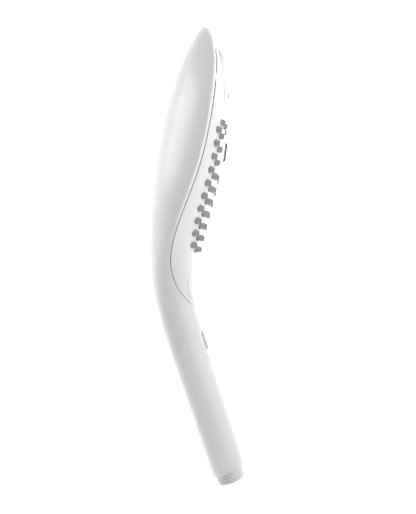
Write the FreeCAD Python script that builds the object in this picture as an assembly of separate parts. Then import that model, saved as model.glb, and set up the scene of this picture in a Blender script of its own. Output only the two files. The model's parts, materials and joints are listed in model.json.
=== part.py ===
"""Handheld shower head with a curved handle, a select button and a flow slider.

Row frame: millimetres, +Z up along the handle, the spray side faces -Y, the mirror plane is X = 0.
The origin is the centre of the threaded inlet's lower end. Side-view places are written as
(forward, height), where forward is the distance in front of the handle's axis.
"""

import FreeCAD
import Part
import math
import os

V = FreeCAD.Vector

# ---------------------------------------------------------------- driving dimensions
THREAD_R = 10.4775          # G 1/2 external thread, crest radius
THREAD_PITCH = 1.814
THREAD_DEPTH = 1.162
THREAD_LENGTH = 8.0
THREAD_CHAMFER = 0.9
THREAD_SECTORS = 8
HANDLE_FOOT = 8.0           # height where the handle's shell starts
FOOT_ROUND = 1.5
WALL = 2.3                  # rear shell wall
SKIN = 2.3                  # spray face wall
SEAM_GAP = 0.2              # half of the visible joint line
HANDLE_BORE_R = 10.4
SHELF_LOW, SHELF_HIGH, SHELF_R = 26.0, 29.0, 9.3    # ring inside the handle that holds the nipple

# Stations up the body: back point, front point (forward, height), half width,
# where the widest line lies between back and front, and the fullness exponents of each side.
STATIONS = [
    # back            front            half   widest  back  front
    ((-12.6, 8.0), (12.6, 8.0), 12.6, 0.50, 0.50, 0.50),
    ((-12.8, 30.0), (12.85, 30.0), 12.8, 0.50, 0.50, 0.50),
    ((-13.1, 60.0), (13.1, 60.0), 13.1, 0.50, 0.50, 0.50),
    ((-13.25, 86.0), (13.6, 87.0), 13.4, 0.50, 0.50, 0.50),
    ((-12.95, 107.0), (14.6, 104.0), 14.0, 0.50, 0.50, 0.50),
    ((-12.2, 123.0), (15.7, 115.5), 15.3, 0.50, 0.50, 0.50),
    ((-10.4, 137.0), (19.2, 126.5), 18.0, 0.50, 0.52, 0.54),
    ((-7.2, 150.5), (24.6, 139.5), 22.0, 0.50, 0.57, 0.63),
    ((-1.8, 166.5), (32.6, 152.0), 27.2, 0.53, 0.63, 0.74),
    ((5.8, 184.5), (42.6, 166.5), 32.2, 0.60, 0.68, 0.82),
    ((15.8, 204.0), (53.2, 182.5), 35.4, 0.67, 0.71, 0.85),
    ((27.6, 224.5), (63.3, 201.5), 36.0, 0.715, 0.72, 0.85),
    ((40.5, 243.3), (71.2, 221.5), 33.2, 0.74, 0.71, 0.82),
    ((53.0, 258.7), (76.6, 239.5), 27.0, 0.75, 0.69, 0.78),
    ((63.5, 269.0), (79.4, 254.0), 19.0, 0.72, 0.65, 0.70),
    ((70.4, 274.7), (80.0, 264.5), 11.4, 0.66, 0.58, 0.60),
    ((74.2, 277.2), (79.5, 270.8), 6.0, 0.58, 0.52, 0.54),
]
TIP = (77.3, 277.2)
SECTION_POINTS = 24

# Joint line between the rear shell and the spray face in side view, from the top round to the neck.
SEAM = [
    (85.0, 262.6), (79.8, 260.6), (77.1, 257.8), (75.7, 253.0), (72.0, 242.3), (66.4, 229.2),
    (58.3, 213.3), (46.1, 193.2), (32.6, 176.0), (18.9, 159.3), (11.4, 147.4), (8.1, 137.0),
    (8.2, 127.0), (11.2, 117.0), (14.9, 111.1), (19.5, 107.2),
]

# The head's own frame: FACE_ORIGIN on the front line, FACE_OUT the way the water leaves.
FACE_ORIGIN = (32.6, 152.0)
FACE_TILT = math.radians(26.5)
FACE_OUT = V(0, -math.cos(FACE_TILT), -math.sin(FACE_TILT))
FACE_UP = V(0, -math.sin(FACE_TILT), math.cos(FACE_TILT))

# Layers behind the spray face, as depths along the water's way back.
MAT_FRONT, MAT_BACK = 2.4, 3.6
PLATE_FRONT, PLATE_BACK = 3.7, 5.5
CHAMBER_RIM, CHAMBER_FLOOR, COVER_BACK = 6.5, 9.0, 10.8
LAYER_EDGE = 3.0            # how far the layers stop short of the head's widest line
LAYER_FOOT = [(-12.8, 0.0), (-12.5, 8.5), (-10.8, 15.5)]      # (up the face, half width)
LAYER_TOP = [(84.0, 25.0), (92.0, 16.5), (97.0, 7.5), (98.2, 0.0)]
PLATE_INSET, PLATE_HOLE_R, CHAMBER_INSET, CHAMBER_WALL = 0.4, 0.9, 2.5, 2.0
CORD_R, CORD_DEPTH = 0.41, 6.0

# Rain nozzles: columns as (distance from the mirror plane at the widest, how fast the column closes
# in away from there, first distance up the face, count, how far the nozzles stand out).
NOZZLE_COLUMNS = [
    (24.2, 0.0031, -6.2, 10, 2.6),
    (18.6, 0.0027, -8.7, 11, 2.5),
    (12.6, 0.0027, -8.6, 7, 2.3),
    (10.3, 0.0027, 68.9, 1, 2.3),
    (0.0, 0.0, 6.1, 5, 1.0),
]
COLUMN_WIDEST_UP = 52.0
NOZZLE_PITCH, NOZZLE_SPREAD = 7.22, 0.055    # pitch at the column's foot, and how it grows upwards
NOZZLE_BASE_R, NOZZLE_STEP_R, NOZZLE_TIP_R, NOZZLE_HOLE_R = 2.15, 2.0, 1.6, 0.55
NOZZLE_ROOT, NOZZLE_STEP = 6.0, 0.1
FACE_HOLE_R = 2.3

# Raised forms on the face: distance up the face, half width, half length, how far it stands out.
JET_DOME = (90.2, 13.0, 9.8, 2.3)
TOP_DOME = (109.8, 12.0, 9.3, 3.2)
WHIRL_DOME = (54.5, 13.0, 9.0, 1.7)
DOME_SINK = 2.4             # how deep each swelling's widest level lies
JET_INSERT_R, JET_BORE_R, JET_STAND = 2.0, 0.9, 0.5
WHIRL_INSERT_R, WHIRL_WALL, WHIRL_ROOF = 6.3, 1.2, 1.6
INSERT_DEPTH, FLANGE_BACK, FLANGE_THICK, FLANGE_REACH = 6.9, 7.7, 1.2, 1.2
BEADS, BEAD_R, BEAD_CIRCLE_R, WHIRL_HOLE_R, WHIRL_CIRCLE_R = 10, 1.05, 4.8, 0.35, 2.4
CORE_BACK, CORE_THICK, CORE_HUB_R, CORE_HUB_LENGTH = 5.8, 1.6, 1.5, 4.0

# Select button: centre on the front line, axis square to the neck's front. Depths run inward.
BUTTON_CENTRE = (18.7, 125.3)
BUTTON_TILT = math.radians(18.5)
BUTTON_HALF_LENGTH, BUTTON_HALF_WIDTH = 12.8, 11.6
BUTTON_GAP, BUTTON_SKIN = 0.3, 2.2
STEM_R, STEM_HEAD_R, STEM_HEAD_END = 3.0, 6.0, 4.2
STEM_RING_AT, STEM_RING_R = 9.85, 0.6
HUB_BORE_R, HUB_R, HUB_END = 4.0, 5.4, 12.2
HOUSING_RIM, HOUSING_END, HOUSING_R, HOUSING_BORE_R = 8.4, 24.0, 10.5, 9.5
COVER_CLIP_LOW, COVER_CLIP_HIGH, COVER_CLIP_R = 8.6, 9.0, 9.85
COVER_LOW, COVER_HIGH = 9.1, 11.0
RATCHET_TEETH, TOOTH_ANGLE, TOOTH_HEIGHT = 12, 10.0, 0.8
PEGS, PEG_R, PEG_CIRCLE_R, PEG_GAP, ROTOR_HUB_R = 3, 0.8, 5.4, 0.02, 2.2
CROWN_INNER_R, CROWN_R = 4.5, 6.5
PUSHER_CROWN = (12.6, 13.5)
ROTOR_CROWN = (16.4, 17.4)
DISC_LOW, DISC_HIGH, DISC_R = 19.2, 20.4, 7.8
SEAT_LOW, SEAT_HIGH = 20.45, 22.2
PORT_R, PORT_CIRCLE_R = 1.9, 5.0
CRADLE_REACH, CRADLE_HALF, CRADLE_LOW, CRADLE_HIGH = 16.0, 3.0, 12.0, 18.0
DUCT_START_DEPTH, DUCT_END_UP, DUCT_R, DUCT_BORE_R = 17.0, 2.0, 5.0, 3.9

# Flow slider: stadium recess on the handle's front.
RECESS_LOW, RECESS_HIGH, RECESS_HALF_WIDTH, RECESS_FLOOR = 69.0, 98.6, 5.6, 10.95
PAD_LOW, PAD_HIGH, PAD_HALF_WIDTH, PAD_BACK = 63.5, 104.5, 8.5, 9.3
SLIDER_LOW, SLIDER_HIGH, SLIDER_HALF_WIDTH, SLIDER_BACK = 82.8, 97.3, 5.0, 11.3
SLIDER_TRAVEL = 6.0
SLOT_HALF_WIDTH, SLOT_MARGIN = 2.3, 1.6
ARM_LOW, ARM_HIGH, ARM_HALF_WIDTH, ARM_BACK, ARM_FRONT = 88.0, 92.0, 2.0, 4.6, 12.9
CARRIAGE_BACK, CARRIAGE_FRONT, CARRIAGE_HALF_WIDTH = 7.95, 8.95, 4.0
CARRIAGE_LOW, CARRIAGE_HIGH = 84.5, 95.5

# Flow valve on the handle's axis: heights run up the handle.
VALVE_SPIGOT_LOW, VALVE_LOW, VALVE_FLOOR, VALVE_HIGH = 46.0, 50.9, 52.0, 109.0
VALVE_R, VALVE_BORE_R, VALVE_SPIGOT_R, VALVE_INLET_R = 7.6, 6.05, 6.1, 4.4
COLLAR_R = 10.3
COLLARS = [(54.0, 56.0), (105.5, 107.5)]
SPOOL_LOW, SPOOL_HIGH, SPOOL_R, SPOOL_BORE_R = 73.2, 106.6, 6.0, 3.2
SPOOL_RINGS, RING_R, SPOOL_GROOVE_R = (75.9, 103.9), 0.9, 4.2
BULLET_R, BULLET_TIP, SPIDER_HIGH = 2.9, 70.0, 54.5
CAP_HIGH, CAP_SPIGOT_HIGH, CAP_BORE_R, CAP_SPIGOT_R = 111.0, 114.0, 3.6, 5.0
FEED_DUCT_R, FEED_DUCT_TOP = 6.2, 126.0

# Inlet end: nipple, tube and check valve.
NIPPLE_R, NIPPLE_HIGH, INLET_BORE_R, INLET_STEP, INLET_BORE_HIGH = 10.3, 25.9, 6.9, 6.2, 10.0
NIPPLE_THROAT_R, SOCKET_LOW, SOCKET_R = 5.2, 14.0, 7.6
NIPPLE_RINGS, NIPPLE_GROOVE_R = (11.6, 15.4), 9.2
CLIP_LOW, CLIP_HIGH, CLIP_INNER_R, CLIP_R, CLIP_GAP = 21.6, 22.8, 9.4, 11.0, 40.0
TUBE_LOW, TUBE_HIGH, TUBE_R, TUBE_BORE_R, CHAMBER_R = 14.1, 50.8, 7.5, 4.4, 6.2
FLANGE_LOW, FLANGE_HIGH, FLANGE_R = 26.0, 28.6, 9.2
TUBE_RINGS, TUBE_GROOVE_R = (17.4, 20.6), 6.1
CHECK_LOW, CHECK_SEAT_HIGH, CHECK_HUB_LOW, CHECK_HIGH, SEAT_BORE_R = 30.1, 32.0, 40.0, 42.0, 3.4
POPPET_R, POPPET_THICK, POPPET_STEM_R, POPPET_TOP = 4.5, 1.8, 1.2, 43.5
LIMITER_LOW, LIMITER_HIGH, LIMITER_R, LIMITER_SEAT_R = 7.2, 9.9, 6.45, 6.5
SCREEN_LOW, SCREEN_HIGH, SCREEN_PITCH, SCREEN_HOLE_R = 6.3, 7.1, 1.45, 0.42

# Head screws: places as (distance up the face, share of the half width).
SCREW_PLACES = [(33.2, 0.175), (76.0, 0.26)]
SCREW_R, SCREW_HEAD_R, SCREW_HEAD_THICK, BOSS_R, SPOT_DEPTH = 1.3, 2.6, 1.5, 2.4, 10.2


# ---------------------------------------------------------------- helpers
def side(forward, height, x=0.0):
    """A point from its side-view place."""
    return V(x, -forward, height)


def cylinder(radius, low, high):
    """A solid cylinder on the handle's axis."""
    return Part.makeCylinder(radius, high - low, V(0, 0, low))


def tube(outer, inner, low, high):
    return cylinder(outer, low, high).cut(cylinder(inner, low - 1, high + 1))


def o_ring(mean_radius, section_radius, height):
    return Part.makeTorus(mean_radius, section_radius, V(0, 0, height))


def through(points):
    """A spline through the points whose parameter at each point is its index."""
    curve = Part.BSplineCurve()
    curve.interpolate(Points=points, Parameters=[float(i) for i in range(len(points))])
    return curve


def x_prism(outline, half_width):
    """The side-view region inside a closed wire, pushed out both ways along X."""
    region = Part.Face(outline)
    region.translate(V(-half_width, 0, 0))
    return region.extrude(V(2 * half_width, 0, 0))


def polyline(points):
    return Part.makePolygon(points + [points[0]])


def one_solid(shape):
    """The single solid in a boolean's result."""
    solids = sorted(shape.Solids, key=lambda s: s.Volume)
    return solids[-1]


BACK_LINE = through([side(*s[0]) for s in STATIONS])
FRONT_LINE = through([side(*s[1]) for s in STATIONS])
WIDTH_LINE = through([V(s[2], s[3], i) for i, s in enumerate(STATIONS)])
FULLNESS_LINE = through([V(s[4], s[5], i) for i, s in enumerate(STATIONS)])


def station(index, wall=0.0):
    """Back point, widest point, front point, half width and fullness at a station, less a wall."""
    back, front = BACK_LINE.value(index), FRONT_LINE.value(index)
    half_width, share = WIDTH_LINE.value(index).x, WIDTH_LINE.value(index).y
    fullness = FULLNESS_LINE.value(index)
    widest = back + (front - back) * share
    inward = (front - back).normalize() * wall
    return back + inward, widest, front - inward, half_width - wall, fullness


def section(index, wall=0.0):
    """The body's closed outline at a station."""
    back, widest, front, half_width, fullness = station(index, wall)
    points = []
    for i in range(SECTION_POINTS):
        turn = 2 * math.pi * i / SECTION_POINTS
        rise = math.sin(turn)
        reach = (front - widest) if rise > 0 else (back - widest)
        power = 2 * (fullness.y if rise > 0 else fullness.x)
        points.append(widest + reach * abs(rise) ** power + V(half_width * math.cos(turn), 0, 0))
    curve = Part.BSplineCurve()
    curve.interpolate(Points=points, PeriodicFlag=True,
                      Parameters=[float(i) for i in range(SECTION_POINTS + 1)])
    return Part.Wire([curve.toShape()])


def envelope():
    """The whole outer form, handle to tip."""
    last = len(STATIONS) - 1
    sections = [section(i / 2) for i in range(2 * last + 1)]
    body = Part.makeLoft(sections + [Part.Vertex(side(*TIP))], True)
    radius, low = STATIONS[0][2], HANDLE_FOOT
    inner, outer, high = radius - FOOT_ROUND, radius + 0.15, low + 1.2 * FOOT_ROUND
    middle = V(radius - 0.32 * FOOT_ROUND, 0, low + 0.3 * FOOT_ROUND)
    arc = Part.Arc(V(outer, 0, high), middle, V(inner, 0, low))
    rest = Part.makePolygon([V(inner, 0, low), V(inner, 0, low - 1), V(radius + 1, 0, low - 1),
                             V(radius + 1, 0, high), V(outer, 0, high)])
    corner = Part.Face(Part.Wire([arc.toShape()] + rest.Edges))
    return one_solid(body.cut(corner.revolve(V(0, 0, 0), V(0, 0, 1), 360)))


def cavity():
    """The hollow inside the rear shell, from the handle's bore to near the tip."""
    last = 2 * (len(STATIONS) - 1) - 1
    hollow = Part.makeLoft([section(i / 2, WALL) for i in range(3, last + 1)], True)
    return hollow.fuse(cylinder(HANDLE_BORE_R, 29.0, 46.0)).fuse(
        cylinder(SHELF_R, SHELF_LOW - 1, SHELF_HIGH + 1)).fuse(
        cylinder(HANDLE_BORE_R, 0.0, SHELF_LOW))


def seam_region(shift):
    """The side-view region in front of the joint line, moved forward by shift, as a solid."""
    move = FACE_OUT * shift
    curve = Part.BSplineCurve()
    curve.interpolate([side(*p) + move for p in SEAM])
    top, bottom = side(*SEAM[0]) + move, side(*SEAM[-1]) + move
    far = [bottom, side(120, SEAM[-1][1]), side(120, SEAM[0][1]), top]
    outline = Part.Wire([curve.toShape()] + [Part.makeLine(a, b) for a, b in zip(far, far[1:])])
    return x_prism(outline, 60)


# ---------------------------------------------------------------- the head's frame
def on_face(up, out, x=0.0):
    """A point from its distance up the face chord and out of it."""
    return side(*FACE_ORIGIN, x) + FACE_UP * up + FACE_OUT * out


def front_index(up):
    """The station index where the front line is this far up the face chord."""
    low, high = 4.0, float(len(STATIONS) - 1)
    for _ in range(40):
        middle = (low + high) / 2
        reach = (FRONT_LINE.value(middle) - side(*FACE_ORIGIN)).dot(FACE_UP)
        low, high = (middle, high) if reach < up else (low, middle)
    return low


def face_point(up, share):
    """The point of the outer surface at this height and share of the half width, and its normal."""
    index = front_index(up)

    def at(i, s):
        _, widest, front, half_width, fullness = station(i)
        return widest + (front - widest) * (1 - s * s) ** fullness.y + V(half_width * s, 0, 0)

    step = 0.02
    along = at(index + step, share) - at(index - step, share)
    across = at(index, share + step) - at(index, share - step)
    normal = across.cross(along).normalize()
    return at(index, share), (normal if normal.dot(FACE_OUT) > 0 else normal * -1)


def turned(shape, at, direction):
    """A shape built up +Z from the origin, turned to a direction and moved to a place."""
    moved = shape.copy()
    moved.Placement = FreeCAD.Placement(at, FreeCAD.Rotation(V(0, 0, 1), direction))
    return moved


def outline_places(inset):
    """The layers' outline in front view, pulled in by inset, as (up the face, x) all the way round."""
    foot, top = LAYER_FOOT[-1][0], LAYER_TOP[0][0]
    steps = 9
    middle = [foot + (top - foot) * (i + 0.6) / steps for i in range(steps)]
    right = [(up + inset, x) for up, x in LAYER_FOOT]
    right += [(up, station(front_index(up))[3] - LAYER_EDGE) for up in middle]
    right += [(up - inset, x) for up, x in LAYER_TOP]
    right = [(up, max(x - inset, 0.0) if x else 0.0) for up, x in right]
    return right + [(up, -x) for up, x in reversed(right[1:-1])]


def outline_prism(inset):
    """The layers' outline as a tall solid along the water's way."""
    points = [on_face(up, 12, x) for up, x in outline_places(inset)]
    curve = Part.BSplineCurve()
    curve.interpolate(Points=points, PeriodicFlag=True)
    return Part.Face(Part.Wire([curve.toShape()])).extrude(FACE_OUT * -45)


def layer(body, inset, front, back):
    """A curved sheet that follows the spray face between two depths."""
    sheet = body.translated(FACE_OUT * -front).common(outline_prism(inset))
    return one_solid(sheet.cut(body.translated(FACE_OUT * -back)))


def nozzle_places():
    """Base point and height of every rain nozzle, both sides of the mirror plane."""
    places = []
    for widest, closing, first, count, proud in NOZZLE_COLUMNS:
        for i in range(count):
            up = first + NOZZLE_PITCH * i + NOZZLE_SPREAD * i * i
            x = widest - closing * (up - COLUMN_WIDEST_UP) ** 2
            point, _ = face_point(up, x / station(front_index(up))[3])
            places.append((point, proud))
            if widest:
                places.append((V(-point.x, point.y, point.z), proud))
    return places


def drilled(places, radius, low, high):
    """Straight cylinders along the water's way under every nozzle."""
    return [turned(Part.makeCylinder(radius, high - low), p + FACE_OUT * low, FACE_OUT) for p, _ in places]


def dome(spec):
    """A smooth oval swelling whose crown stands out of the face by the last number."""
    up, half_width, half_length, proud = spec
    point, normal = face_point(up, 0.0)
    height = proud + DOME_SINK
    length = half_length / math.sqrt(1 - (DOME_SINK / height) ** 2)
    stretch = FreeCAD.Matrix(half_width, 0, 0, 0, 0, length, 0, 0, 0, 0, height, 0, 0, 0, 0, 1)
    egg = Part.makeSphere(1.0).transformGeometry(stretch)
    egg.rotate(V(0, 0, 0), V(1, 0, 0), -math.degrees(math.atan2(normal.y, normal.z)))
    egg.translate(point - normal * DOME_SINK)
    return egg


# ---------------------------------------------------------------- the button's frame
BUTTON_IN = V(0, math.cos(BUTTON_TILT), math.sin(BUTTON_TILT))
BUTTON_DOWN = V(0, math.sin(BUTTON_TILT), -math.cos(BUTTON_TILT))
BUTTON_FRAME = FreeCAD.Placement(
    side(*BUTTON_CENTRE), FreeCAD.Rotation(V(1, 0, 0), BUTTON_DOWN, BUTTON_IN, "XYZ"))


def in_button(shape):
    """Moves a shape built with +Z pointing into the body to the button's axis."""
    moved = shape.copy()
    moved.Placement = BUTTON_FRAME.multiply(moved.Placement)
    return moved


def button_prism(grow, low, high):
    """The button's oval, grown all round, between two depths."""
    oval = Part.Ellipse(V(0, 0, low), BUTTON_HALF_LENGTH + grow, BUTTON_HALF_WIDTH + grow)
    oval.rotate(FreeCAD.Placement(V(0, 0, low), V(0, 0, 1), 90))
    return in_button(Part.Face(Part.Wire([oval.toShape()])).extrude(V(0, 0, high - low)))


def crown(low, high, toward, phase):
    """A disc between two depths with ratchet teeth standing on one side."""
    disc = depth_cylinder(CROWN_R, low, high)
    start = high if toward > 0 else low - TOOTH_HEIGHT
    tooth = Part.makeCylinder(CROWN_R, TOOTH_HEIGHT, V(0, 0, start), V(0, 0, 1), TOOTH_ANGLE)
    tooth = tooth.cut(depth_cylinder(CROWN_INNER_R, start - 1, start + 2))
    teeth = []
    for i in range(RATCHET_TEETH):
        copy = tooth.copy()
        copy.rotate(V(0, 0, 0), V(0, 0, 1), phase + i * 360 / RATCHET_TEETH)
        teeth.append(copy)
    return disc.fuse(teeth).removeSplitter()


def depth_cylinder(radius, low, high):
    return Part.makeCylinder(radius, high - low, V(0, 0, low))


def coil(mean_radius, wire_radius, low, high, turns):
    """A helical spring between two heights."""
    span = high - low - 2 * wire_radius
    path = Part.makeHelix(span / turns, span, mean_radius)
    start = Part.Wire([Part.makeCircle(wire_radius, V(mean_radius, 0, 0), V(0, 1, 0))])
    spring = Part.Wire(path.Edges).makePipeShell([start], True, True)
    return spring.translated(V(0, 0, low + wire_radius))


def split_ring(inner, outer, low, high, gap):
    """A snap ring with an opening of gap degrees."""
    ring = Part.makeCylinder(outer, high - low, V(0, 0, low), V(0, 0, 1), 360 - gap)
    return ring.cut(cylinder(inner, low - 1, high + 1))


# ---------------------------------------------------------------- casings
def recess_cutter():
    """The slider's recess: a stadium in front view with a ramped floor in side view."""
    floor, front = RECESS_FLOOR, 20.0
    ramp_end = RECESS_LOW + 7.4
    ramp = Part.BSplineCurve()
    ramp.interpolate([side(front, RECESS_LOW - 9), side(13.25, RECESS_LOW), side(12.1, RECESS_LOW + 3.3),
                      side(11.2, RECESS_LOW + 5.9), side(floor, ramp_end)])
    low_flat, high_flat = side(floor, ramp_end), side(floor, RECESS_HIGH - 1.2)
    lip = side(14.8, RECESS_HIGH + 0.3)
    outline = Part.Wire([
        ramp.toShape(), Part.makeLine(low_flat, high_flat),
        Part.Arc(high_flat, side(floor + 1.0, RECESS_HIGH - 0.4), lip).toShape(),
        Part.makeLine(lip, side(front, RECESS_HIGH + 1)),
        Part.makeLine(side(front, RECESS_HIGH + 1), side(front, RECESS_LOW - 9))])
    return x_prism(outline, 9).common(stadium(RECESS_HALF_WIDTH, RECESS_LOW, RECESS_HIGH, 5, 22))


def stadium(half_width, low, high, near, far):
    """A round-ended bar shape seen from the front, between two forward distances."""
    a, b = low + half_width, high - half_width
    edges = [
        Part.makeLine(V(-half_width, -near, a), V(-half_width, -near, b)),
        Part.Arc(V(-half_width, -near, b), V(0, -near, high), V(half_width, -near, b)).toShape(),
        Part.makeLine(V(half_width, -near, b), V(half_width, -near, a)),
        Part.Arc(V(half_width, -near, a), V(0, -near, low), V(-half_width, -near, a)).toShape()]
    return Part.Face(Part.Wire(edges)).extrude(V(0, near - far, 0))


def arm_slot():
    """The opening that the slider's arm runs in."""
    return stadium(SLOT_HALF_WIDTH, ARM_LOW - SLIDER_TRAVEL - SLOT_MARGIN, ARM_HIGH + SLOT_MARGIN, 5, 22)


def make_rear_shell(body):
    rear = body.cut(seam_region(-SEAM_GAP))
    shell = one_solid(rear.cut(cavity()))
    pad = Part.makeBox(2 * PAD_HALF_WIDTH, 6, PAD_HIGH - PAD_LOW,
                       V(-PAD_HALF_WIDTH, -PAD_BACK - 6, PAD_LOW)).common(rear)
    reach = CRADLE_REACH - HOUSING_R - 0.05
    ribs = []
    for sign in (-1, 1):
        rib = Part.makeBox(reach, 2 * CRADLE_HALF, CRADLE_HIGH - CRADLE_LOW,
                           V(HOUSING_R + 0.05, -CRADLE_HALF, CRADLE_LOW))
        rib = rib if sign > 0 else rib.mirror(V(0, 0, 0), V(1, 0, 0))
        ribs.append(in_button(rib).common(rear))
    clip_groove = cylinder(CLIP_R + 0.1, CLIP_LOW - 0.1, CLIP_HIGH + 0.1)
    cuts = [recess_cutter(), arm_slot(), clip_groove, button_prism(BUTTON_GAP, -4, 12)]
    shell = shell.fuse([pad] + ribs).cut(cuts)
    return one_solid(shell)


def make_spray_face(body, places):
    """The white front: the joint line's front side, with raised domes, less everything behind it."""
    skin = body.fuse([dome(spec) for spec in (JET_DOME, TOP_DOME, WHIRL_DOME)])
    skin = skin.common(seam_region(SEAM_GAP)).cut(body.translated(FACE_OUT * -SKIN))
    holes = drilled(places, FACE_HOLE_R, -6.0, 4.0)
    for up, radius in ((JET_DOME[0], JET_INSERT_R), (WHIRL_DOME[0], WHIRL_INSERT_R)):
        point, normal = face_point(up, 0.0)
        holes.append(turned(Part.makeCylinder(radius + 0.1, 16), point - normal * 8, normal))
    holes.append(button_prism(BUTTON_GAP, -4, 12))
    return one_solid(skin.cut(holes))


# ---------------------------------------------------------------- layers behind the face
def nozzle(proud):
    """One rain nozzle along +Z from inside the mat to its tip: a collar and a tapering spout."""
    tip_round = 0.25
    profile = [(0, -NOZZLE_ROOT), (NOZZLE_BASE_R, -NOZZLE_ROOT), (NOZZLE_BASE_R, NOZZLE_STEP),
               (NOZZLE_STEP_R, NOZZLE_STEP + tip_round), (NOZZLE_TIP_R, proud - tip_round),
               (NOZZLE_TIP_R - tip_round, proud), (0, proud)]
    outline = polyline([V(r, 0, z) for r, z in profile])
    return Part.Face(outline).revolve(V(0, 0, 0), V(0, 0, 1), 360)


def insert_holes(clearance):
    """Clearance for the jet and whirl inserts through the layers."""
    holes = []
    for up, radius in ((JET_DOME[0], JET_INSERT_R), (WHIRL_DOME[0], WHIRL_INSERT_R)):
        point, normal = face_point(up, 0.0)
        holes.append(turned(Part.makeCylinder(radius + clearance, 20), point - normal * 12, normal))
    return holes


def screw_points():
    """The outer-surface point over each head screw."""
    points = []
    for up, share in SCREW_PLACES:
        point, _ = face_point(up, share)
        points += [point, V(-point.x, point.y, point.z)]
    return points


def make_nozzle_mat(body, places):
    """The silicone sheet with its nozzles, cut off level along its back."""
    block = body.translated(FACE_OUT * -MAT_FRONT).common(outline_prism(0.0))
    tips = [turned(nozzle(proud), p, FACE_OUT) for p, proud in places]
    cuts = [body.translated(FACE_OUT * -MAT_BACK)] + insert_holes(0.2)
    return one_solid(block.fuse(tips).cut(cuts + drilled(places, NOZZLE_HOLE_R, -8.0, 3.5)))


def make_jet_plate(body, places):
    plate = layer(body, PLATE_INSET, PLATE_FRONT, PLATE_BACK)
    height = CHAMBER_FLOOR - PLATE_BACK + 2.0
    beyond = body.translated(FACE_OUT * -(CHAMBER_FLOOR - 0.02))
    bosses = [turned(Part.makeCylinder(BOSS_R, height), p - FACE_OUT * (CHAMBER_FLOOR + 1.5), FACE_OUT)
              .cut(beyond) for p in screw_points()]
    holes = drilled(places, PLATE_HOLE_R, -7.0, 0.0)
    pilot = Part.makeCylinder(SCREW_R, 7)
    holes += [turned(pilot, p - FACE_OUT * 12, FACE_OUT) for p in screw_points()]
    return one_solid(plate.fuse(bosses).cut(holes + insert_holes(0.1)))


def make_chamber_gasket():
    """A round sealing cord between the jet plate and the chamber cover's rim."""
    points = []
    for up, x in outline_places(CHAMBER_INSET + CHAMBER_WALL / 2):
        share = x / station(front_index(up))[3]
        points.append(face_point(up, share)[0] - FACE_OUT * CORD_DEPTH)
    path = Part.BSplineCurve()
    path.interpolate(Points=points, PeriodicFlag=True)
    first, last = path.FirstParameter, path.LastParameter
    middle = (first + last) / 2
    halves = []
    for low, high in ((first, middle), (middle, last)):
        ring = Part.Wire([Part.makeCircle(CORD_R, path.value(low), path.tangent(low)[0])])
        halves.append(Part.Wire([path.toShape(low, high)]).makePipeShell([ring], True, True))
    return one_solid(halves[0].fuse(halves[1]))


def outlet_line():
    """Start and end of the duct from the diverter to the chamber."""
    start = side(*BUTTON_CENTRE) + BUTTON_IN * DUCT_START_DEPTH
    return start, on_face(DUCT_END_UP, -CHAMBER_FLOOR)


def duct_cylinder(radius):
    start, end = outlet_line()
    return turned(Part.makeCylinder(radius, (end - start).Length + 3), start, end - start)


def make_chamber_cover(body):
    tray = layer(body, CHAMBER_INSET, CHAMBER_RIM, COVER_BACK)
    hollow = body.translated(FACE_OUT * -PLATE_BACK).cut(body.translated(FACE_OUT * -CHAMBER_FLOOR))
    hollow = hollow.common(outline_prism(CHAMBER_INSET + CHAMBER_WALL))
    cuts = [hollow, duct_cylinder(DUCT_R + 0.03)]
    for p in screw_points():
        head = Part.makeCylinder(SCREW_HEAD_R + 0.1, 4)
        cuts.append(turned(Part.makeCylinder(SCREW_R + 0.1, 5), p - FACE_OUT * 12, FACE_OUT))
        cuts.append(turned(head, p - FACE_OUT * SPOT_DEPTH, FACE_OUT * -1))
    return one_solid(tray.cut(cuts))


def make_head_screws():
    """Pan-head screws with cross recesses, from the chamber cover into the plate's bosses."""
    screws = []
    for p in screw_points():
        shank = Part.makeCylinder(SCREW_R - 0.02, 3.6, V(0, 0, 0))
        head = Part.makeCylinder(SCREW_HEAD_R, SCREW_HEAD_THICK, V(0, 0, -SCREW_HEAD_THICK))
        edges = [e for e in head.Edges if abs(e.CenterOfMass.z + SCREW_HEAD_THICK) < 0.01
                 and e.Length > SCREW_HEAD_R]
        head = head.makeFillet(0.5, edges)
        cross = [Part.makeBox(2.8, 0.6, 0.8, V(-1.4, -0.3, -SCREW_HEAD_THICK)),
                 Part.makeBox(0.6, 2.8, 0.8, V(-0.3, -1.4, -SCREW_HEAD_THICK))]
        screws.append(turned(shank.fuse(head).cut(cross), p - FACE_OUT * SPOT_DEPTH, FACE_OUT))
    return Part.makeCompound(screws)


def insert_frame(spec):
    """Crown point and direction of a dome, for the insert that comes out of it."""
    point, normal = face_point(spec[0], 0.0)
    return point, normal, spec[3]


def make_jet_nozzle():
    """The narrow jet's outlet: a flanged tube through the dome."""
    point, normal, proud = insert_frame(JET_DOME)
    tip = proud + JET_STAND
    body = Part.makeCylinder(JET_INSERT_R, INSERT_DEPTH + tip, V(0, 0, -INSERT_DEPTH))
    body = body.fuse(Part.makeCylinder(JET_INSERT_R + FLANGE_REACH, FLANGE_THICK, V(0, 0, -FLANGE_BACK)))
    mouth = Part.makeCone(JET_BORE_R, JET_BORE_R + 0.6, 0.8, V(0, 0, tip - 0.8))
    bore = Part.makeCylinder(JET_BORE_R, 16, V(0, 0, -9))
    return turned(body.cut([bore, mouth]).removeSplitter(), point, normal)


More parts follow.
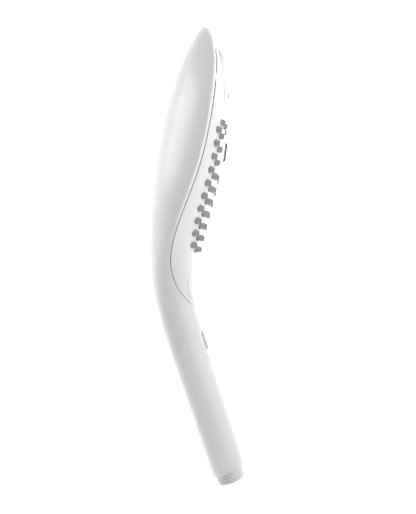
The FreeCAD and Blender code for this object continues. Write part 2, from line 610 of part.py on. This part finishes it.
def make_whirl_nozzle():
    """The massage outlet: a beaded disc in the dome with a ring of slanting holes."""
    point, normal, proud = insert_frame(WHIRL_DOME)
    body = Part.makeCylinder(WHIRL_INSERT_R, INSERT_DEPTH + proud, V(0, 0, -INSERT_DEPTH))
    body = body.fuse(Part.makeCylinder(WHIRL_INSERT_R + FLANGE_REACH, FLANGE_THICK, V(0, 0, -FLANGE_BACK)))
    chamber = Part.makeCylinder(WHIRL_INSERT_R - WHIRL_WALL, FLANGE_BACK + proud - WHIRL_ROOF,
                                V(0, 0, -FLANGE_BACK - 0.1))
    beads, holes = [Part.makeSphere(BEAD_R, V(0, 0, proud - 0.2))], []
    for i in range(BEADS):
        turn = 2 * math.pi * i / BEADS
        beads.append(Part.makeSphere(BEAD_R, V(math.cos(turn), math.sin(turn), 0) * BEAD_CIRCLE_R
                                     + V(0, 0, proud - 0.2)))
        holes.append(Part.makeCylinder(WHIRL_HOLE_R, 6, V(math.cos(turn), math.sin(turn), 0) * WHIRL_CIRCLE_R
                                       + V(0, 0, proud - 4)))
    return turned(one_solid(body.fuse(beads).cut([chamber] + holes)), point, normal)


def make_swirl_core():
    """The vaned core that spins the water behind the massage outlet."""
    point, normal, _ = insert_frame(WHIRL_DOME)
    core = Part.makeCylinder(WHIRL_INSERT_R - WHIRL_WALL - 0.05, CORE_THICK, V(0, 0, -CORE_BACK))
    hub = Part.makeCylinder(CORE_HUB_R, CORE_HUB_LENGTH, V(0, 0, CORE_THICK - CORE_BACK - 0.1))
    slots = []
    for i in range(4):
        slot = Part.makeBox(3.2, 1.1, CORE_THICK + 1, V(1.2, 1.4, -CORE_BACK - 0.5))
        slot.rotate(V(0, 0, 0), V(0, 0, 1), 90 * i)
        slots.append(slot)
    return turned(core.fuse(hub).cut(slots), point, normal)


# ---------------------------------------------------------------- select button and diverter
def make_select_button(body):
    cap = body.common(button_prism(0.0, -4, 12))
    return one_solid(cap.cut(body.translated(BUTTON_IN * BUTTON_SKIN)))


def make_button_pusher(body):
    """The stem under the button: spring plate, ring groove and ratchet crown."""
    head = in_button(depth_cylinder(STEM_HEAD_R, 0.5, STEM_HEAD_END))
    head = head.common(body.translated(BUTTON_IN * (BUTTON_SKIN + 0.01)))
    stem = depth_cylinder(STEM_R, STEM_HEAD_END - 0.5, PUSHER_CROWN[1])
    groove = depth_cylinder(STEM_R + 1, STEM_RING_AT - 0.65, STEM_RING_AT + 0.65).cut(
        depth_cylinder(STEM_R - 0.25, STEM_RING_AT - 1, STEM_RING_AT + 1))
    stem = stem.cut(groove).fuse(crown(*PUSHER_CROWN, 1, 0.0))
    return one_solid(head.fuse(in_button(stem)))


def make_button_seal():
    mean = HUB_BORE_R - 0.03 - STEM_RING_R
    return in_button(Part.makeTorus(mean, STEM_RING_R, V(0, 0, STEM_RING_AT)))


def make_button_spring():
    return in_button(coil(4.5, 0.35, STEM_HEAD_END + 0.05, COVER_LOW - 0.05, 3.5))


def make_diverter_housing():
    cup = depth_cylinder(HOUSING_R, HOUSING_RIM, HOUSING_END)
    bore = depth_cylinder(HOUSING_BORE_R, HOUSING_RIM - 1, SEAT_HIGH)
    groove = depth_cylinder(COVER_CLIP_R + 0.05, COVER_CLIP_LOW - 0.1, COVER_LOW)
    drain = depth_cylinder(PORT_R, SEAT_HIGH - 1, HOUSING_END + 1).translated(V(PORT_CIRCLE_R, 0, 0))
    cup = in_button(cup.cut([bore, groove, drain]))
    inlet = cylinder(CAP_BORE_R, CAP_HIGH, FEED_DUCT_TOP)
    return one_solid(cup.cut([inlet, duct_cylinder(DUCT_BORE_R)]))


def make_diverter_cover():
    disc = depth_cylinder(HOUSING_BORE_R - 0.03, COVER_LOW, COVER_HIGH)
    hub = depth_cylinder(HUB_R, COVER_HIGH - 0.5, HUB_END)
    disc = disc.fuse(hub).cut(depth_cylinder(HUB_BORE_R, COVER_LOW - 1, HUB_END + 1))
    return in_button(disc.removeSplitter())


def make_cover_clip():
    ring = split_ring(COVER_CLIP_R - 1.3, COVER_CLIP_R, COVER_CLIP_LOW, COVER_CLIP_HIGH, CLIP_GAP)
    return in_button(ring)


def make_diverter_rotor():
    """Ratchet crown, hub and three pegs that drive the port disc."""
    top = crown(*ROTOR_CROWN, -1, 15.0)
    hub = depth_cylinder(ROTOR_HUB_R, ROTOR_CROWN[1] - 0.5, DISC_LOW - 0.02)
    pegs = peg_cylinders(PEG_R, ROTOR_CROWN[1] - 0.1, DISC_HIGH - 0.3)
    return in_button(one_solid(top.fuse([hub] + pegs)))


def peg_cylinders(radius, low, high):
    """Cylinders where the rotor's driving pegs are."""
    pegs = []
    for i in range(PEGS):
        turn = 2 * math.pi * i / PEGS + math.pi / 3
        pegs.append(depth_cylinder(radius, low, high).translated(
            V(math.cos(turn), math.sin(turn), 0) * PEG_CIRCLE_R))
    return pegs


def make_rotor_spring():
    return in_button(coil(3.3, 0.3, ROTOR_CROWN[1] + 0.02, DISC_LOW - 0.02, 1.5))


def make_diverter_disc():
    """The turning port disc: one open port and three peg holes."""
    disc = depth_cylinder(DISC_R, DISC_LOW, DISC_HIGH)
    holes = [Part.makeCylinder(PORT_R + 0.2, 4, V(PORT_CIRCLE_R, 0, DISC_LOW - 1))]
    return in_button(disc.cut(holes + peg_cylinders(PEG_R + PEG_GAP, DISC_LOW - 1, DISC_HIGH + 1)))


def make_diverter_seat():
    """The fixed ceramic seat with one port for each spray."""
    seat = depth_cylinder(HOUSING_BORE_R - 0.05, SEAT_LOW, SEAT_HIGH - 0.01)
    ports = []
    for i in range(3):
        turn = math.radians(120 * i)
        ports.append(Part.makeCylinder(PORT_R, 4, V(
            PORT_CIRCLE_R * math.cos(turn), PORT_CIRCLE_R * math.sin(turn), SEAT_LOW - 1)))
    return in_button(seat.cut(ports))


def make_outlet_duct(body):
    pipe = duct_cylinder(DUCT_R).cut(duct_cylinder(DUCT_BORE_R))
    pipe = pipe.common(body.translated(FACE_OUT * -(CHAMBER_FLOOR + 0.1)))
    return one_solid(pipe.cut(in_button(depth_cylinder(HOUSING_R + 0.02, 0, HOUSING_END + 2))))


def make_feed_duct():
    pipe = tube(FEED_DUCT_R, CAP_BORE_R, CAP_HIGH + 0.02, FEED_DUCT_TOP)
    pipe = pipe.cut(cylinder(CAP_SPIGOT_R + 0.03, CAP_HIGH - 1, CAP_SPIGOT_HIGH + 0.1))
    return one_solid(pipe.cut(in_button(depth_cylinder(HOUSING_R + 0.02, 0, HOUSING_END + 2))))


# ---------------------------------------------------------------- flow slider and valve
def make_flow_slider():
    """The thumb piece: a lens with a thick ledge at its lower end and a socket for the arm."""
    back = SLIDER_BACK
    crest = Part.BSplineCurve()
    crest.interpolate([side(back, SLIDER_LOW), side(13.2, SLIDER_LOW - 0.25), side(14.6, SLIDER_LOW + 1.2),
                       side(14.75, SLIDER_LOW + 3.6), side(14.5, SLIDER_LOW + 8.0),
                       side(13.6, SLIDER_HIGH - 2.2), side(back, SLIDER_HIGH)])
    outline = Part.Wire([crest.toShape(), Part.makeLine(side(back, SLIDER_HIGH), side(back, SLIDER_LOW))])
    blank = x_prism(outline, 8).common(
        stadium(SLIDER_HALF_WIDTH, SLIDER_LOW - 0.3, SLIDER_HIGH, 5, 22))
    crown_cut = Part.makeCylinder(9.6, 30, V(0, -5.3, SLIDER_LOW - 5))
    socket = Part.makeBox(2 * ARM_HALF_WIDTH + 0.04, 3, ARM_HIGH - ARM_LOW + 0.04,
                          V(-ARM_HALF_WIDTH - 0.02, -ARM_FRONT - 0.02, ARM_LOW - 0.02))
    return one_solid(blank.common(crown_cut).cut(socket))


def make_slider_carriage():
    """The plate behind the handle's wall and the arm that joins slider and spool."""
    plate = Part.makeBox(2 * CARRIAGE_HALF_WIDTH, CARRIAGE_FRONT - CARRIAGE_BACK,
                         CARRIAGE_HIGH - CARRIAGE_LOW, V(-CARRIAGE_HALF_WIDTH, -CARRIAGE_FRONT, CARRIAGE_LOW))
    arm = Part.makeBox(2 * ARM_HALF_WIDTH, ARM_FRONT - ARM_BACK, ARM_HIGH - ARM_LOW,
                       V(-ARM_HALF_WIDTH, -ARM_FRONT, ARM_LOW))
    return plate.fuse(arm).removeSplitter()


def make_flow_spool():
    spool = tube(SPOOL_R, SPOOL_BORE_R, SPOOL_LOW, SPOOL_HIGH)
    cuts = [tube(SPOOL_R + 1, SPOOL_GROOVE_R, z - RING_R - 0.1, z + RING_R + 0.1) for z in SPOOL_RINGS]
    waist = tube(SPOOL_R + 1, SPOOL_R - 0.8, SPOOL_RINGS[0] + 4, SPOOL_RINGS[1] - 4)
    cuts.append(waist)
    cuts.append(Part.makeBox(2 * ARM_HALF_WIDTH + 0.04, 4, ARM_HIGH - ARM_LOW + 0.04,
                             V(-ARM_HALF_WIDTH - 0.02, -ARM_BACK - 4 + 0.02, ARM_LOW - 0.02)))
    return one_solid(spool.cut(cuts))


def make_spool_seals():
    mean = VALVE_BORE_R - 0.02 - RING_R
    return Part.makeCompound([o_ring(mean, RING_R, z) for z in SPOOL_RINGS])


def make_valve_body():
    body = cylinder(VALVE_R, VALVE_LOW, VALVE_HIGH)
    parts = [cylinder(VALVE_SPIGOT_R, VALVE_SPIGOT_LOW, VALVE_LOW + 0.5)]
    parts += [cylinder(COLLAR_R, low, high) for low, high in COLLARS]
    cuts = [cylinder(VALVE_BORE_R, VALVE_FLOOR, VALVE_HIGH + 1),
            cylinder(VALVE_INLET_R, VALVE_SPIGOT_LOW - 1, VALVE_FLOOR + 1), arm_slot()]
    groove = tube(VALVE_SPIGOT_R + 1, 5.2, VALVE_SPIGOT_LOW + 1.2, VALVE_SPIGOT_LOW + 3.2)
    return one_solid(body.fuse(parts).cut(cuts + [groove]))


def make_valve_seal():
    return o_ring(CHAMBER_R - 0.01 - 0.48, 0.48, VALVE_SPIGOT_LOW + 2.2)


def make_throttle_seat():
    """The bullet that the spool comes down on, held by three arms in a ring."""
    ring = tube(VALVE_BORE_R - 0.02, 4.6, VALVE_FLOOR + 0.01, SPIDER_HIGH)
    bullet = cylinder(BULLET_R, VALVE_FLOOR + 0.01, BULLET_TIP - BULLET_R).fuse(
        Part.makeSphere(BULLET_R, V(0, 0, BULLET_TIP - BULLET_R)))
    arms = []
    for i in range(3):
        arm = Part.makeBox(5.0, 1.2, SPIDER_HIGH - VALVE_FLOOR - 0.01, V(0, -0.6, VALVE_FLOOR + 0.01))
        arm.rotate(V(0, 0, 0), V(0, 0, 1), 120 * i)
        arms.append(arm)
    return one_solid(ring.fuse([bullet] + arms))


def make_valve_cap():
    cap = cylinder(VALVE_R, VALVE_HIGH + 0.01, CAP_HIGH)
    cap = cap.fuse([cylinder(VALVE_BORE_R - 0.03, VALVE_HIGH - 2, VALVE_HIGH + 0.5),
                    cylinder(CAP_SPIGOT_R, CAP_HIGH - 0.5, CAP_SPIGOT_HIGH)])
    return one_solid(cap.cut(cylinder(CAP_BORE_R, VALVE_HIGH - 3, CAP_SPIGOT_HIGH + 1)))


# ---------------------------------------------------------------- inlet end
def inlet_thread():
    """The G 1/2 external thread: a core and a chamfered helical ridge, whose crest is cut into sectors."""
    root = THREAD_R - THREAD_DEPTH
    path = Part.makeHelix(THREAD_PITCH, THREAD_PITCH, root)
    profile = polyline([V(root - 0.2, 0, -0.86), V(root - 0.2, 0, 0.86),
                        V(THREAD_R + 0.05, 0, 0.1), V(THREAD_R + 0.05, 0, -0.1)])
    turn = Part.Wire(path.Edges).makePipeShell([profile], True, True)
    turns = [turn.translated(V(0, 0, THREAD_PITCH * (i - 0.8))) for i in range(6)]
    ridge = turns[0].fuse(turns[1:])
    top, angle = THREAD_LENGTH - 0.6, 360 / THREAD_SECTORS
    outline = polyline([V(0, 0, 0), V(THREAD_R - THREAD_CHAMFER, 0, 0), V(THREAD_R, 0, THREAD_CHAMFER),
                        V(THREAD_R, 0, top), V(0, 0, top)])
    blank = Part.Face(outline).revolve(V(0, 0, 0), V(0, 0, 1), angle)
    sectors = []
    for i in range(THREAD_SECTORS):
        sector = blank.copy()
        sector.rotate(V(0, 0, 0), V(0, 0, 1), angle * i)
        sectors.append(ridge.common(sector))
    return cylinder(root, 0, THREAD_LENGTH).fuse(sectors)


def make_inlet_nipple():
    body = inlet_thread().fuse(cylinder(NIPPLE_R, THREAD_LENGTH, NIPPLE_HIGH))
    cuts = [cylinder(INLET_BORE_R, -1, INLET_STEP),
            cylinder(LIMITER_SEAT_R, INLET_STEP - 1, INLET_BORE_HIGH),
            cylinder(NIPPLE_THROAT_R, INLET_BORE_HIGH - 1, SOCKET_LOW + 1),
            cylinder(SOCKET_R, SOCKET_LOW, NIPPLE_HIGH + 1),
            tube(NIPPLE_R + 2, CLIP_INNER_R - 0.05, CLIP_LOW - 0.05, CLIP_HIGH + 0.05)]
    cuts += [tube(NIPPLE_R + 2, NIPPLE_GROOVE_R, z - 0.8, z + 0.8) for z in NIPPLE_RINGS]
    return one_solid(body.cut(cuts))


def make_nipple_seals():
    section_r = 0.59
    return Part.makeCompound([o_ring(HANDLE_BORE_R - 0.01 - section_r, section_r, z) for z in NIPPLE_RINGS])


def make_nipple_clip():
    return split_ring(CLIP_INNER_R, CLIP_R, CLIP_LOW, CLIP_HIGH, CLIP_GAP)


def make_waterway_tube():
    body = cylinder(TUBE_R, TUBE_LOW, TUBE_HIGH).fuse(cylinder(FLANGE_R, FLANGE_LOW, FLANGE_HIGH))
    cuts = [cylinder(TUBE_BORE_R, TUBE_LOW - 1, CHECK_LOW),
            cylinder(CHAMBER_R, CHECK_LOW - 0.1, TUBE_HIGH + 1)]
    cuts += [tube(TUBE_R + 1, TUBE_GROOVE_R, z - 0.85, z + 0.85) for z in TUBE_RINGS]
    return one_solid(body.cut(cuts))


def make_tube_seals():
    section_r = 0.73
    return Part.makeCompound([o_ring(SOCKET_R - 0.01 - section_r, section_r, z) for z in TUBE_RINGS])


def make_check_cage():
    """Seat ring, three posts and the hub that guides the poppet's stem."""
    outer = CHAMBER_R - 0.05
    seat = tube(outer, SEAT_BORE_R, CHECK_LOW, CHECK_SEAT_HIGH)
    hub = tube(2.4, POPPET_STEM_R + 0.05, CHECK_HUB_LOW, CHECK_HIGH)
    ring = tube(outer, outer - 1.0, CHECK_HUB_LOW, CHECK_HIGH)
    parts = [hub, ring]
    for i in range(3):
        post = Part.makeBox(0.9, 1.6, CHECK_HIGH - CHECK_SEAT_HIGH + 0.5,
                            V(outer - 1.0, -0.8, CHECK_SEAT_HIGH - 0.5))
        bridge = Part.makeBox(outer - 2.2, 1.0, CHECK_HIGH - CHECK_HUB_LOW, V(1.9, -0.5, CHECK_HUB_LOW))
        for piece in (post, bridge):
            piece.rotate(V(0, 0, 0), V(0, 0, 1), 120 * i)
            parts.append(piece.common(cylinder(outer, CHECK_LOW, CHECK_HIGH)))
    return one_solid(seat.fuse(parts))


def make_check_poppet():
    low = CHECK_SEAT_HIGH + 0.02
    disc = cylinder(POPPET_R, low, low + POPPET_THICK)
    disc = disc.fuse(Part.makeCone(SEAT_BORE_R - 1.0, SEAT_BORE_R - 0.4, 1.0, V(0, 0, low - 1.0)))
    return disc.fuse(cylinder(POPPET_STEM_R, low + 0.5, POPPET_TOP)).removeSplitter()


def make_check_spring():
    return coil(3.0, 0.3, CHECK_SEAT_HIGH + 0.04 + POPPET_THICK, CHECK_HUB_LOW - 0.02, 5.0)


def make_flow_limiter():
    """The limiter disc in the inlet: a ring of metering holes round a soft core's seat."""
    disc = cylinder(LIMITER_R, LIMITER_LOW, LIMITER_HIGH)
    cuts = [tube(5.2, 3.2, LIMITER_HIGH - 1.2, LIMITER_HIGH + 1)]
    for i in range(8):
        turn = math.radians(45 * i)
        cuts.append(Part.makeCylinder(0.6, 6, V(4.2 * math.cos(turn), 4.2 * math.sin(turn), LIMITER_LOW - 1)))
    return disc.cut(cuts)


def make_filter_screen():
    """A rimmed disc of small holes at the inlet."""
    disc = cylinder(LIMITER_R, SCREEN_LOW, SCREEN_HIGH).cut(cylinder(5.6, SCREEN_LOW - 1, SCREEN_HIGH - 0.4))
    holes = []
    for row in range(-4, 5):
        for column in range(-4, 5):
            x = (column + 0.5 * (row % 2)) * SCREEN_PITCH
            y = row * SCREEN_PITCH * math.sqrt(3) / 2
            if math.hypot(x, y) < 5.1:
                holes.append(Part.makeCylinder(SCREEN_HOLE_R, 3, V(x, y, SCREEN_LOW - 1)))
    return disc.cut(holes)


def build():
    body = envelope()
    places = nozzle_places()
    return {
        "rear_shell": lambda: make_rear_shell(body),
        "spray_face": lambda: make_spray_face(body, places),
        "nozzle_mat": lambda: make_nozzle_mat(body, places),
        "jet_plate": lambda: make_jet_plate(body, places),
        "chamber_gasket": make_chamber_gasket,
        "chamber_cover": lambda: make_chamber_cover(body),
        "head_screws": make_head_screws,
        "jet_nozzle": make_jet_nozzle,
        "whirl_nozzle": make_whirl_nozzle,
        "swirl_core": make_swirl_core,
        "select_button": lambda: make_select_button(body),
        "button_pusher": lambda: make_button_pusher(body),
        "button_seal": make_button_seal,
        "button_spring": make_button_spring,
        "diverter_housing": make_diverter_housing,
        "diverter_cover": make_diverter_cover,
        "cover_clip": make_cover_clip,
        "diverter_rotor": make_diverter_rotor,
        "rotor_spring": make_rotor_spring,
        "diverter_disc": make_diverter_disc,
        "diverter_seat": make_diverter_seat,
        "outlet_duct": lambda: make_outlet_duct(body),
        "feed_duct": make_feed_duct,
        "flow_slider": make_flow_slider,
        "slider_carriage": make_slider_carriage,
        "flow_spool": make_flow_spool,
        "spool_seals": make_spool_seals,
        "valve_body": make_valve_body,
        "valve_seal": make_valve_seal,
        "throttle_seat": make_throttle_seat,
        "valve_cap": make_valve_cap,
        "inlet_nipple": make_inlet_nipple,
        "nipple_seals": make_nipple_seals,
        "nipple_clip": make_nipple_clip,
        "waterway_tube": make_waterway_tube,
        "tube_seals": make_tube_seals,
        "check_cage": make_check_cage,
        "check_poppet": make_check_poppet,
        "check_spring": make_check_spring,
        "flow_limiter": make_flow_limiter,
        "filter_screen": make_filter_screen,
    }


os.makedirs("parts", exist_ok=True)
for name, maker in build().items():
    shape = maker()
    shape.exportStep(f"parts/{name}.step")
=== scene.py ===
"""Looks of the handheld shower head: materials, studio and camera.

Metres. Row frame: +Z up along the handle, the water leaves on -Y, the mirror plane is X = 0.
"""

import json
import math

import bpy
from mathutils import Matrix, Vector

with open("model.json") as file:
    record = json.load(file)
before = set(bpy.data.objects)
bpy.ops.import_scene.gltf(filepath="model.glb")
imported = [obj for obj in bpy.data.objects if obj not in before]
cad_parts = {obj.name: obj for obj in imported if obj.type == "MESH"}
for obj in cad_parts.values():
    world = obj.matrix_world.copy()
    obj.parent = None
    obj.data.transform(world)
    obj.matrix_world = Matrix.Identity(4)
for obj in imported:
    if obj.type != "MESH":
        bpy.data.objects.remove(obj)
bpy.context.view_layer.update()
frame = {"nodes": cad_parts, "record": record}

MM = 0.001
HANDLE_TILT = math.radians(18.55)       # how far the handle leans from upright in the picture
CAMERA_TARGET = Vector((0.0, -31.8, 138.3)) * MM
CAMERA_DISTANCE = 0.41
FOCAL_SHARE = 1.254864                  # focal length over the picture's height
SENSOR = 24.0
FLOOR_GLOW, WALL_GLOW = 0.05, 1.0       # emission of the paper in front of and behind the object
GLOW_FROM, GLOW_TO = 0.1, 0.5           # where the paper turns from the one to the other, going away
WORLD_STRENGTH = 0.08
PAPER_DARK, PAPER_LIGHT = (0.88, 0.88, 0.88), (0.9, 0.9, 0.9)
NOISE_LOW, NOISE_HIGH = 0.3, 0.7        # the part of a noise's range that is stretched
STEEL_GRAIN = (1.0, 1.0, 12.0)          # drawn lines: the noise is squeezed along Z
SWEEP_STEPS = 12

# Soft lights, in the picture's own directions: where, size, power and what each points at.
LIGHTS = {
    "left": {"place": (-0.62, 0.40, -0.12), "size": (0.45, 0.45), "power": 3.4,
             "target": (0.0, 0.03, 0.0)},
    "right": {"place": (0.72, 0.38, -0.52), "size": (1.1, 1.0), "power": 8.4,
              "target": (0.0, 0.0, 0.0)},
    "behind_left": {"place": (-0.42, -0.5, 0.3), "size": (0.3, 0.4), "power": 15.0,
                    "target": (0.03, -0.13, 0.0)},
}


# ---------------------------------------------------------------- materials
def new_material(name):
    """An empty material, its node tree, its shader and the object's own coordinates."""
    material = bpy.data.materials.new(name)
    material.use_nodes = True
    tree = material.node_tree
    shader = tree.nodes["Principled BSDF"]
    place = tree.nodes.new("ShaderNodeTexCoord")
    return material, tree, shader, place.outputs["Object"]


def noise(tree, place, scale, detail=3.0):
    """A noise value over the object's coordinates."""
    node = tree.nodes.new("ShaderNodeTexNoise")
    node.inputs["Scale"].default_value = scale
    node.inputs["Detail"].default_value = detail
    tree.links.new(place, node.inputs["Vector"])
    return node.outputs["Fac"]


def spread(tree, value, low, high):
    """A noise value stretched over a range."""
    node = tree.nodes.new("ShaderNodeMapRange")
    node.inputs["From Min"].default_value = NOISE_LOW
    node.inputs["From Max"].default_value = NOISE_HIGH
    node.inputs["To Min"].default_value = low
    node.inputs["To Max"].default_value = high
    tree.links.new(value, node.inputs["Value"])
    return node.outputs["Result"]


def two_tone(tree, value, first, second):
    """A noise value turned into a blend of two colours."""
    ramp = tree.nodes.new("ShaderNodeValToRGB")
    ramp.color_ramp.elements[0].position = NOISE_LOW
    ramp.color_ramp.elements[1].position = NOISE_HIGH
    ramp.color_ramp.elements[0].color = (*first, 1)
    ramp.color_ramp.elements[1].color = (*second, 1)
    tree.links.new(value, ramp.inputs["Fac"])
    return ramp.outputs["Color"]


def bump(tree, shader, height, strength, distance):
    """Fine relief from a noise value."""
    node = tree.nodes.new("ShaderNodeBump")
    node.inputs["Strength"].default_value = strength
    node.inputs["Distance"].default_value = distance
    tree.links.new(height, node.inputs["Height"])
    tree.links.new(node.outputs["Normal"], shader.inputs["Normal"])


def gloss_plastic(name, colour, roughness=(0.3, 0.38), coat=0.12):
    """Moulded, polished plastic: faint colour drift, faint orange peel and uneven shine."""
    material, tree, shader, place = new_material(name)
    darker = tuple(c * 0.975 for c in colour)
    drift = noise(tree, place, scale=14.0, detail=2.0)
    shine = noise(tree, place, scale=60.0, detail=4.0)
    peel = noise(tree, place, scale=900.0, detail=2.0)
    tree.links.new(two_tone(tree, drift, darker, colour), shader.inputs["Base Color"])
    tree.links.new(spread(tree, shine, *roughness), shader.inputs["Roughness"])
    bump(tree, shader, peel, strength=0.03, distance=0.0002)
    shader.inputs["IOR"].default_value = 1.5
    shader.inputs["Coat Weight"].default_value = coat
    shader.inputs["Coat Roughness"].default_value = 0.15
    return material


def matte_plastic(name, colour, roughness=(0.42, 0.55)):
    """Moulded plastic with fine spark-eroded grain."""
    material, tree, shader, place = new_material(name)
    darker = tuple(c * 0.9 for c in colour)
    drift = noise(tree, place, scale=40.0)
    shine = noise(tree, place, scale=150.0)
    grain = noise(tree, place, scale=2500.0, detail=4.0)
    tree.links.new(two_tone(tree, drift, darker, colour), shader.inputs["Base Color"])
    tree.links.new(spread(tree, shine, *roughness), shader.inputs["Roughness"])
    bump(tree, shader, grain, strength=0.12, distance=0.0002)
    return material


def rubber(name, colour, roughness=(0.5, 0.65), through=0.0):
    """Rubber or silicone: soft shine, dusty mottling, light scattered inside."""
    material, tree, shader, place = new_material(name)
    darker = tuple(c * 0.88 for c in colour)
    mottling = noise(tree, place, scale=220.0)
    shine = noise(tree, place, scale=400.0)
    grain = noise(tree, place, scale=3000.0)
    tree.links.new(two_tone(tree, mottling, darker, colour), shader.inputs["Base Color"])
    tree.links.new(spread(tree, shine, *roughness), shader.inputs["Roughness"])
    bump(tree, shader, grain, strength=0.1, distance=0.0001)
    shader.inputs["IOR"].default_value = 1.41
    shader.inputs["Subsurface Weight"].default_value = through
    shader.inputs["Subsurface Radius"].default_value = (0.0008, 0.0008, 0.0008)
    return material


def steel(name, colour):
    """Drawn stainless steel with fine lines."""
    material, tree, shader, place = new_material(name)
    stretch = tree.nodes.new("ShaderNodeMapping")
    stretch.inputs["Scale"].default_value = STEEL_GRAIN
    tree.links.new(place, stretch.inputs["Vector"])
    lines = noise(tree, stretch.outputs["Vector"], scale=500.0)
    darker = tuple(c * 0.8 for c in colour)
    tree.links.new(two_tone(tree, lines, darker, colour), shader.inputs["Base Color"])
    tree.links.new(spread(tree, lines, low=0.2, high=0.36), shader.inputs["Roughness"])
    bump(tree, shader, lines, strength=0.06, distance=0.0001)
    shader.inputs["Metallic"].default_value = 1.0
    return material


MATERIALS = {
    "white_shell": gloss_plastic("white_shell", (0.80, 0.80, 0.795)),
    "face_white": gloss_plastic("face_white", (0.80, 0.80, 0.79), (0.32, 0.4)),
    "control_white": gloss_plastic("control_white", (0.78, 0.78, 0.775), (0.34, 0.42), 0.1),
    "nozzle_silicone": rubber("nozzle_silicone", (0.36, 0.375, 0.38), (0.4, 0.55), 0.1),
    "insert_grey": gloss_plastic("insert_grey", (0.12, 0.13, 0.135), (0.3, 0.4), 0.1),
    "acetal_natural": matte_plastic("acetal_natural", (0.72, 0.72, 0.66)),
    "acetal_blue": matte_plastic("acetal_blue", (0.05, 0.13, 0.32)),
    "abs_black": matte_plastic("abs_black", (0.02, 0.02, 0.022)),
    "ceramic_white": gloss_plastic("ceramic_white", (0.78, 0.77, 0.72), (0.1, 0.16), 0.0),
    "seal_black": rubber("seal_black", (0.02, 0.02, 0.021)),
    "steel_bright": steel("steel_bright", (0.6, 0.6, 0.6)),
    "steel_screw": steel("steel_screw", (0.5, 0.5, 0.5)),
}


def dress_frame():
    """Gives every CAD node its finished material."""
    for part in frame["record"]["subparts"]:
        mesh = frame["nodes"][part["node"]].data
        mesh.materials.clear()
        mesh.materials.append(MATERIALS[part["material_slot"]])


# ---------------------------------------------------------------- studio and camera
RIGHT = Vector((0.0, -math.cos(HANDLE_TILT), -math.sin(HANDLE_TILT)))    # the picture's right
UP = Vector((0.0, -math.sin(HANDLE_TILT), math.cos(HANDLE_TILT)))       # the picture's up
AWAY = Vector((1.0, 0.0, 0.0))                                          # into the picture


def studio_point(right, up, away):
    """A place given in the picture's own directions from what the camera looks at."""
    return CAMERA_TARGET + RIGHT * right + UP * up + AWAY * away


def facing(location, target):
    """A placement at location whose -Z looks at target."""
    back = (location - target).normalized()
    side = UP.cross(back).normalized()
    turn = Matrix((side, back.cross(side), back)).transposed().to_4x4()
    return Matrix.Translation(location) @ turn


def add_camera():
    """The camera looks square at the mirror plane, upright to the picture."""
    camera = bpy.data.cameras.new("camera")
    camera.sensor_fit = "VERTICAL"
    camera.sensor_height = SENSOR
    camera.lens = SENSOR * FOCAL_SHARE
    camera.clip_start = 0.01
    holder = bpy.data.objects.new("camera", camera)
    bpy.context.scene.collection.objects.link(holder)
    holder.matrix_world = facing(studio_point(0.0, 0.0, -CAMERA_DISTANCE), CAMERA_TARGET)
    bpy.context.scene.camera = holder


def soft_light(name, place, size, power, target):
    """A rectangular soft light."""
    light = bpy.data.lights.new(name, "AREA")
    light.shape = "RECTANGLE"
    light.size, light.size_y = size
    light.energy = power
    holder = bpy.data.objects.new(name, light)
    bpy.context.scene.collection.objects.link(holder)
    holder.matrix_world = facing(studio_point(*place), studio_point(*target))


def sweep_material():
    """Pale paper: the wall behind is lit bright, the floor in front only faintly."""
    material, tree, shader, place = new_material("sweep")
    axis = tree.nodes.new("ShaderNodeVectorMath")
    axis.operation = "DOT_PRODUCT"
    axis.inputs[1].default_value = AWAY
    tree.links.new(place, axis.inputs[0])
    glow = tree.nodes.new("ShaderNodeMapRange")
    glow.interpolation_type = "SMOOTHSTEP"
    glow.inputs["From Min"].default_value = GLOW_FROM
    glow.inputs["From Max"].default_value = GLOW_TO
    glow.inputs["To Min"].default_value = FLOOR_GLOW
    glow.inputs["To Max"].default_value = WALL_GLOW
    tree.links.new(axis.outputs["Value"], glow.inputs["Value"])
    tree.links.new(glow.outputs["Result"], shader.inputs["Emission Strength"])
    paper = two_tone(tree, noise(tree, place, scale=3.0, detail=2.0), PAPER_DARK, PAPER_LIGHT)
    tree.links.new(paper, shader.inputs["Base Color"])
    shader.inputs["Roughness"].default_value = 0.9
    shader.inputs["Emission Color"].default_value = (1, 1, 1, 1)
    return material


def add_sweep():
    """A pale floor that curves up into a pale wall, level with the picture."""
    floor, wall, bend, half, front, top = -0.55, 0.75, 0.3, 3.0, -2.5, 2.4
    profile = [(front, floor), (wall - bend, floor)]
    for i in range(1, SWEEP_STEPS + 1):
        turn = math.pi / 2 * i / SWEEP_STEPS
        profile.append((wall - bend + bend * math.sin(turn), floor + bend - bend * math.cos(turn)))
    profile.append((wall, top))
    vertices = [studio_point(side, up, away) for away, up in profile for side in (-half, half)]
    faces = [(2 * i, 2 * i + 1, 2 * i + 3, 2 * i + 2) for i in range(len(profile) - 1)]
    mesh = bpy.data.meshes.new("sweep")
    mesh.from_pydata(vertices, [], faces)
    mesh.polygons.foreach_set("use_smooth", [True] * len(faces))
    mesh.materials.append(sweep_material())
    sweep = bpy.data.objects.new("sweep", mesh)
    bpy.context.scene.collection.objects.link(sweep)


def add_world(strength):
    """Even white light from all round."""
    world = bpy.data.worlds.new("studio")
    world.use_nodes = True
    world.node_tree.nodes["Background"].inputs["Color"].default_value = (1, 1, 1, 1)
    world.node_tree.nodes["Background"].inputs["Strength"].default_value = strength
    bpy.context.scene.world = world


dress_frame()
add_camera()
add_sweep()
add_world(WORLD_STRENGTH)
for light_name, settings in LIGHTS.items():
    soft_light(light_name, **settings)
bpy.context.scene.view_settings.view_transform = "Standard"
